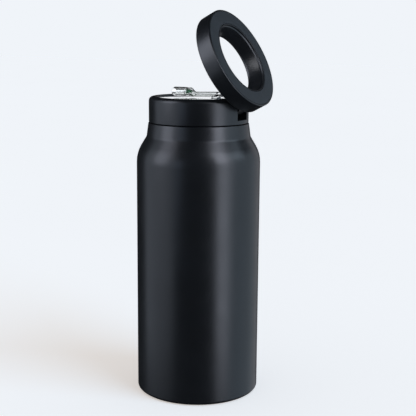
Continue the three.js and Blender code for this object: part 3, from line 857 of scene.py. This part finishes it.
def mouthpiece():
    """The clear spout: a thick tip with a rounded lip, a thin neck, and a hub on two trunnions."""
    outside = loft("clear_spout", half_profile(
        (TIP_START, 0),
        (TIP_START, TIP_HALF_HEIGHT, 1.5 * MM),
        (TIP_END, TIP_HALF_HEIGHT, 1.6 * MM),
        (NECK_START, NECK_HALF_HEIGHT, 2.2 * MM),
        (NECK_END, NECK_HALF_HEIGHT, 1 * MM),
        (NECK_END, 0),
    ), spout_centre, spout_ratio)
    hub = cross_rod(SPOUT_PIVOT.x, SPOUT_PIVOT.z, 2.4 * MM, 3.2 * MM)
    web = block(
        (SPOUT_PIVOT.x - 2 * MM, SPOUT_PIVOT.x + 2 * MM),
        (-2.6 * MM, 2.6 * MM),
        (SPOUT_PIVOT.z, SPOUT_Z + 0.9 * MM),
    )
    trunnions = cross_rod(SPOUT_PIVOT.x, SPOUT_PIVOT.z, 1 * MM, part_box("mouthpiece")[1].y)
    combine(outside, "UNION", hub, web, trunnions)
    lip, tip, seat, neck = 2.5 * MM, 2.25 * MM, 1.7 * MM, 0.95 * MM  # half heights of the channel
    channel = loft("channel", half_profile(
        (TIP_START - 1 * MM, 0),
        (TIP_START - 1 * MM, lip),
        (TIP_START + 0.8 * MM, tip, 0.8 * MM),
        (VALVE_SEAT, tip, 0.2 * MM),
        (VALVE_SEAT + 0.3 * MM, seat, 0.2 * MM),
        (TIP_END, seat, 1 * MM),
        (NECK_START, neck, 1 * MM),
        (NECK_END + 1 * MM, neck),
        (NECK_END + 1 * MM, 0),
    ), spout_centre, lambda x: spout_ratio(x) * 1.15)
    combine(outside, "DIFFERENCE", channel)
    return finish_piece(outside, "spout", "clear_plastic", "mouthpiece")


def flow_valve():
    """A silicone sleeve with a slit across its middle and a bead at each end."""
    low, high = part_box("flow_valve")
    height = (high.z - low.z) / 2
    bead = 0.4 * MM
    waist = height - 0.3 * MM
    sleeve = loft("drip_valve", half_profile(
        (low.x, 0),
        (low.x, height, 0.3 * MM),
        (low.x + bead, height, 0.2 * MM),
        (low.x + bead + 0.2 * MM, waist, 0.2 * MM),
        (high.x - bead - 0.2 * MM, waist, 0.2 * MM),
        (high.x - bead, height, 0.2 * MM),
        (high.x, height, 0.3 * MM),
        (high.x, 0),
    ), spout_centre, lambda x: (high.y - low.y) / (high.z - low.z))
    middle = (low.z + high.z) / 2
    slit = block(
        (low.x - 1 * MM, high.x + 1 * MM),
        (-1.4 * MM, 1.4 * MM),
        (middle - 0.3 * MM, middle + 0.3 * MM),
    )
    combine(sleeve, "DIFFERENCE", slit)
    return finish_piece(sleeve, "spout", "green_silicone", "flow_valve")


# ------------------------------------------------------------------ the phone ring

def ring_local(obj):
    """Turns a piece drawn flat on the lid to the ring's open rest pose."""
    turn = Matrix.Translation(HINGE) @ Matrix.Rotation(OPEN_ANGLE, 4, "Y") @ Matrix.Translation(-HINGE)
    obj.data.transform(turn)
    return obj


def ring_frame():
    seat_inner, seat_outer, seat_floor = 23.1 * MM, 28.4 * MM, 200.6 * MM
    cover_floor = RING_FRONT_Z - 1.3 * MM
    rim_z = RING_FRONT_Z - 0.1 * MM
    body = lathe("phone_ring_frame", [
        (RING_BACK_HOLE, RING_BACK_Z, 0.6 * MM),
        (RING_OUTER, RING_BACK_Z, 0.9 * MM),
        (RING_OUTER, rim_z, 0.6 * MM),
        (RING_OUTER - RING_RIM, rim_z, 0.1 * MM),
        (RING_OUTER - RING_RIM, cover_floor),
        (seat_outer, cover_floor),
        (seat_outer, seat_floor),
        (seat_inner, seat_floor),
        (seat_inner, rim_z),
        (RING_FRONT_HOLE, rim_z, 0.3 * MM),
        (RING_FRONT_HOLE, cover_floor, 0.1 * MM),
        (RING_FRONT_HOLE - 0.6 * MM, cover_floor - 0.6 * MM, 0.2 * MM),
        (RING_BACK_HOLE, RING_BACK_Z + 1.5 * MM, 0.6 * MM),
    ])
    half = LUG_HALF_WIDTH
    lug = prism("lug", [(HINGE.x + p.x, HINGE.z + p.y) for p in outline([
        (-3.4 * MM, 0),
        (3.2 * MM, 1.1 * MM),
        (2 * MM, 5.2 * MM, 1 * MM),
        (2.2 * MM, 8.9 * MM),
        (-4.3 * MM, 8.9 * MM),
    ])], -half, half)
    knuckle = cross_rod(HINGE.x, HINGE.z, 3.4 * MM, half)
    combine(lug, "UNION", knuckle)
    combine(body, "UNION", lug)
    combine(body, "DIFFERENCE", cross_rod(HINGE.x, HINGE.z, PIN_HOLE, PIN_HOLE_REACH))
    return finish_piece(ring_local(body), "phone_ring", "black_plastic", "ring_frame")


def ring_face():
    low = RING_FRONT_Z - 1 * MM
    facing = lathe("phone_ring_facing", [
        (RING_FRONT_HOLE + 1 * MM, low),
        (RING_OUTER - RING_RIM - 0.3 * MM, low),
        (RING_OUTER - RING_RIM - 0.3 * MM, RING_FRONT_Z, 0.15 * MM),
        (RING_FRONT_HOLE + 1 * MM, RING_FRONT_Z, 0.15 * MM),
    ])
    return finish_piece(ring_local(facing), "phone_ring", "soft_black", "ring_face")


def magnet_set():
    """The steel keeper and the sixteen arc magnets in front of it, each with broken edges."""
    inner, outer = 23.5 * MM, 28 * MM
    low, high = 201.8 * MM, 203.9 * MM
    keeper = lathe("magnet_keeper", [
        (inner, low - 0.9 * MM, 0.1 * MM),
        (outer, low - 0.9 * MM, 0.1 * MM),
        (outer, low - GAP, 0.1 * MM),
        (inner, low - GAP, 0.1 * MM),
    ])
    finish_piece(ring_local(keeper), "phone_ring", "steel", "ring_keeper")
    count = 16
    pitch = 2 * math.pi / count
    space = 0.6 * MM
    chords = 10
    for index in range(count):
        start = index * pitch
        end = start + pitch - space / inner
        angles = [start + (end - start) * k / chords for k in range(chords + 1)]
        outside = [(outer * math.cos(a), outer * math.sin(a)) for a in angles]
        inside = [(inner * math.cos(a), inner * math.sin(a)) for a in reversed(angles)]
        edge = outside + inside
        total = len(edge)
        vertices = [(x, y, z) for z in (low, high) for x, y in edge]
        sides = [(i, (i + 1) % total, (i + 1) % total + total, i + total) for i in range(total)]
        faces = [tuple(range(total)), tuple(range(total, 2 * total)), *sides]
        arc = make_mesh(f"arc_magnet_{index + 1:02d}", vertices, faces)
        soften(arc, 0.2 * MM)
        finish_piece(ring_local(arc), "phone_ring", "magnet", f"magnet_{index + 1:02d}")


# ------------------------------------------------------------------ the stage

# The reference view's camera, from a least-squares fit to the edges of the body and the ring.
CAMERA_AZIMUTH = math.radians(29.76)
CAMERA_DISTANCE = 608.8 * MM
CAMERA_HEIGHT = 235.4 * MM
CAMERA_YAW = math.radians(0.602)
CAMERA_PITCH = math.radians(10.615)
CAMERA_ROLL = math.radians(0.413)
CAMERA_LENS = 81.7  # millimetres, on a 36 mm sensor

BACKDROP = (0.871, 0.904, 0.947)  # the pale studio colour that the camera sees
FILL_COLOUR = (0.93, 0.96, 1)
FILL_LIGHT = 0.12
DARK_STUDIO = 0.005  # what smooth surfaces mirror between the lights
CLEAR_GLOW = 1.2  # of the backdrop, through clear plastic
BAND_TOP = (0.08, 0.2)  # the sine of the elevation where that backdrop ends

LIGHT_DISTANCE = 1.5
LIGHT_TARGET = Vector((0, 0, 0.12))
KEY_ELEVATION = 33  # of the floor's sun, in degrees

FLOOR_LEVEL = -0.1 * MM  # just under the pad, so that the two don't share a plane
FLOOR_REACH = 6
FLOOR_ALBEDO = 0.8
FLOOR_GRAIN = 0.004  # of the albedo, either way
FLOOR_GLOW = (0.5, 0.465, 0.44)  # evens the floor out, as a lit white table does
FLOOR_SKY = 0.17  # light on the floor from all over the sky, which darkens it under the bottle's edge


def camera():
    data = bpy.data.cameras.new("camera")
    data.lens = CAMERA_LENS
    data.sensor_width = 36
    obj = bpy.data.objects.new("camera", data)
    bpy.context.scene.collection.objects.link(obj)
    side = Vector((math.sin(CAMERA_AZIMUTH), -math.cos(CAMERA_AZIMUTH), 0))
    obj.matrix_world = (
        Matrix.Translation(side * CAMERA_DISTANCE + Vector((0, 0, CAMERA_HEIGHT)))
        @ Matrix.Rotation(CAMERA_AZIMUTH - CAMERA_YAW, 4, "Z")
        @ Matrix.Rotation(math.pi / 2 - CAMERA_PITCH, 4, "X")
        @ Matrix.Rotation(CAMERA_ROLL, 4, "Z")
    )
    bpy.context.scene.camera = obj
    return obj


def light(name, kind, azimuth, elevation):
    """A light that shines at the target. Azimuth is counted from the camera's side, positive to its right."""
    data = bpy.data.lights.new(name, kind)
    obj = bpy.data.objects.new(name, data)
    bpy.context.scene.collection.objects.link(obj)
    angle = CAMERA_AZIMUTH + math.radians(azimuth)
    rise = math.radians(elevation)
    back = Vector((math.sin(angle) * math.cos(rise), -math.cos(angle) * math.cos(rise), math.sin(rise)))
    obj.location = LIGHT_TARGET + back * LIGHT_DISTANCE
    obj.rotation_euler = back.to_track_quat("Z", "Y").to_euler()
    return obj


def softbox(name, azimuths, elevations, radiance):
    """A rectangular softbox that spans the given angles, in degrees, seen from the bottle."""
    middle, rise = sum(azimuths) / 2, sum(elevations) / 2
    half_turn = math.radians(azimuths[1] - azimuths[0]) / 2
    half_rise = math.radians(elevations[1] - elevations[0]) / 2
    obj = light(name, "AREA", middle, rise)
    data = obj.data
    data.shape = "RECTANGLE"
    data.size = 2 * LIGHT_DISTANCE * math.tan(half_turn) * math.cos(math.radians(rise))
    data.size_y = 2 * LIGHT_DISTANCE * math.tan(half_rise)
    strongest = max(radiance)
    data.energy = math.pi * data.size * data.size_y * strongest
    data.color = [value / strongest for value in radiance]
    obj.visible_camera = False
    obj.visible_transmission = False
    return obj


def studio_world():
    """Pale to the camera, dim as fill and dark in reflections.

    Clear plastic refracts a bright band round the horizon and a dark ceiling, which draws its outlines.
    """
    world = bpy.data.worlds.new("studio")
    world.use_nodes = True
    nodes, links = world.node_tree.nodes, world.node_tree.links
    nodes.clear()
    path = nodes.new("ShaderNodeLightPath")

    def background(colour, strength):
        node = nodes.new("ShaderNodeBackground")
        node.inputs["Color"].default_value = (*colour, 1)
        node.inputs["Strength"].default_value = strength
        return node

    def choose(ray, when_off, when_on):
        node = nodes.new("ShaderNodeMixShader")
        links.new(path.outputs[ray], node.inputs[0])
        links.new(when_off.outputs[0], node.inputs[1])
        links.new(when_on.outputs[0], node.inputs[2])
        return node

    fill = choose("Is Diffuse Ray", background(BACKDROP, 1), background(FILL_COLOUR, FILL_LIGHT))
    mirrored = choose("Is Glossy Ray", fill, background(FILL_COLOUR, DARK_STUDIO))
    refracted = background(BACKDROP, CLEAR_GLOW)
    direction = nodes.new("ShaderNodeSeparateXYZ")
    links.new(nodes.new("ShaderNodeTexCoord").outputs["Generated"], direction.inputs[0])
    band = nodes.new("ShaderNodeValToRGB")
    low, high = band.color_ramp.elements
    low.position, low.color = BAND_TOP[0], (*BACKDROP, 1)
    high.position, high.color = BAND_TOP[1], (DARK_STUDIO, DARK_STUDIO, DARK_STUDIO, 1)
    links.new(direction.outputs["Z"], band.inputs[0])
    links.new(band.outputs["Color"], refracted.inputs["Color"])
    seen = choose("Is Transmission Ray", mirrored, refracted)
    output = nodes.new("ShaderNodeOutputWorld")
    links.new(seen.outputs[0], output.inputs["Surface"])
    bpy.context.scene.world = world


def floor():
    """A pale floor whose lit colour is the backdrop's, so that no horizon shows."""
    reach = FLOOR_REACH
    sides = ((-reach, -reach), (reach, -reach), (reach, reach), (-reach, reach))
    corners = [(x, y, FLOOR_LEVEL) for x, y in sides]
    plane = make_mesh("floor", corners, [(0, 1, 2, 3)])
    s = Shader("floor", Roughness=1.0, Specular_IOR_Level=0.0, Emission_Strength=1.0)
    s.surface.inputs["Emission Color"].default_value = (*FLOOR_GLOW, 1)
    low, high = FLOOR_ALBEDO - FLOOR_GRAIN, FLOOR_ALBEDO + FLOOR_GRAIN
    s.drive("Base Color", s.ramp(s.noise(3, 2), (0.4, low), (0.6, high)))
    plane.data.materials.append(s.material)
    plane.visible_glossy = False
    plane.visible_diffuse = False
    plane.visible_shadow = False
    return plane


def only_on(lamp, state, *objects):
    """Lights only the objects (INCLUDE), or everything but them (EXCLUDE)."""
    group = bpy.data.collections.new(lamp.name + "_reach")
    for obj in objects:
        group.objects.link(obj)
    for entry in group.collection_objects:
        entry.light_linking.link_state = state
    lamp.light_linking.receiver_collection = group


def dome_light(name, strength, *objects):
    """An even light from the whole sky, on the objects only."""
    dome = light(name, "SUN", 0, 90)
    dome.data.angle = math.pi
    dome.data.energy = strength
    only_on(dome, "INCLUDE", *objects)


def stage(plate, spout, ring):
    ground = floor()
    studio_world()
    bpy.context.scene.view_settings.view_transform = "Standard"
    # The radiances began as a least-squares fit to the reference view's levels. They were then merged into
    # fewer boxes, rounded, and changed.
    boxes = [
        softbox("left_wide", (-115, -45), (-27, 35), (0.7, 0.78, 0.92)),
        softbox("left_core", (-89, -58), (3, 48), (2.2, 2.3, 2.7)),
        softbox("left_front", (-45, -31), (-5, 20), (0.65, 0.8, 1.1)),
        softbox("right_key", (35, 54), (-27, 12), (2.8, 3, 3.5)),
        softbox("right_high", (33, 58), (12, 50), (5.8, 6.1, 7.1)),
        softbox("right_edge", (54, 63), (-27, 12), (1.5, 1.7, 2)),
        softbox("side_fill", (63, 97), (-36, 35), (0.6, 0.75, 0.9)),
        softbox("side_high", (60, 97), (16, 38), (1.1, 1.35, 1.6)),
        softbox("back_fill", (97, 127), (-36, 20), (0.5, 0.6, 0.7)),
        softbox("back_edge", (127, 153), (-36, 20), (0.45, 0.46, 0.5)),
    ]
    for box in boxes:
        only_on(box, "EXCLUDE", ground, plate)  # the plate would mirror them as glare
    card = softbox("back_card", (110, 250), (1, 50), (0.58, 0.6, 0.63))
    only_on(card, "INCLUDE", plate)
    only_on(softbox("spout_card", (130, 230), (48, 84), (1.3, 1.33, 1.36)), "INCLUDE", spout)
    only_on(softbox("ring_card", (-48, -20), (14, 48), (4, 4.1, 4.4)), "INCLUDE", ring)
    dome_light("lid_sky", 0.32 * math.pi, plate)
    dome_light("floor_sky", FLOOR_SKY * math.pi / FLOOR_ALBEDO, ground)
    sun = light("floor_key", "SUN", 54, KEY_ELEVATION)
    sun.data.angle = math.radians(44)
    other = [FLOOR_GLOW[k] + FLOOR_SKY + FLOOR_ALBEDO * FILL_LIGHT * FILL_COLOUR[k] for k in range(3)]
    needed = [BACKDROP[k] - other[k] for k in range(3)]
    strongest = max(needed)
    sun.data.energy = strongest * math.pi / (FLOOR_ALBEDO * math.sin(math.radians(KEY_ELEVATION)))
    sun.data.color = [value / strongest for value in needed]
    only_on(sun, "INCLUDE", ground)


def main():
    outer_shell()
    inner_liner()
    base_cap()
    base_pad()
    vacuum_parts()
    lid_shell()
    screw_plug()
    lid_gasket()
    lid_foam()
    vent_valve()
    plate = top_plate()
    spout_holder()
    spout_seat()
    holder_screw(1)
    holder_screw(-1)
    straw()
    hinge_fittings()
    spout = mouthpiece()
    flow_valve()
    ring = ring_frame()
    ring_face()
    magnet_set()
    for name, node in frame["nodes"].items():
        slot = next(p["material_slot"] for p in frame["record"]["subparts"] if p["node"] == name)
        node.data.materials.clear()
        node.data.materials.append(FINISHES[slot])
    stage(plate, spout, ring)
    camera()


main()
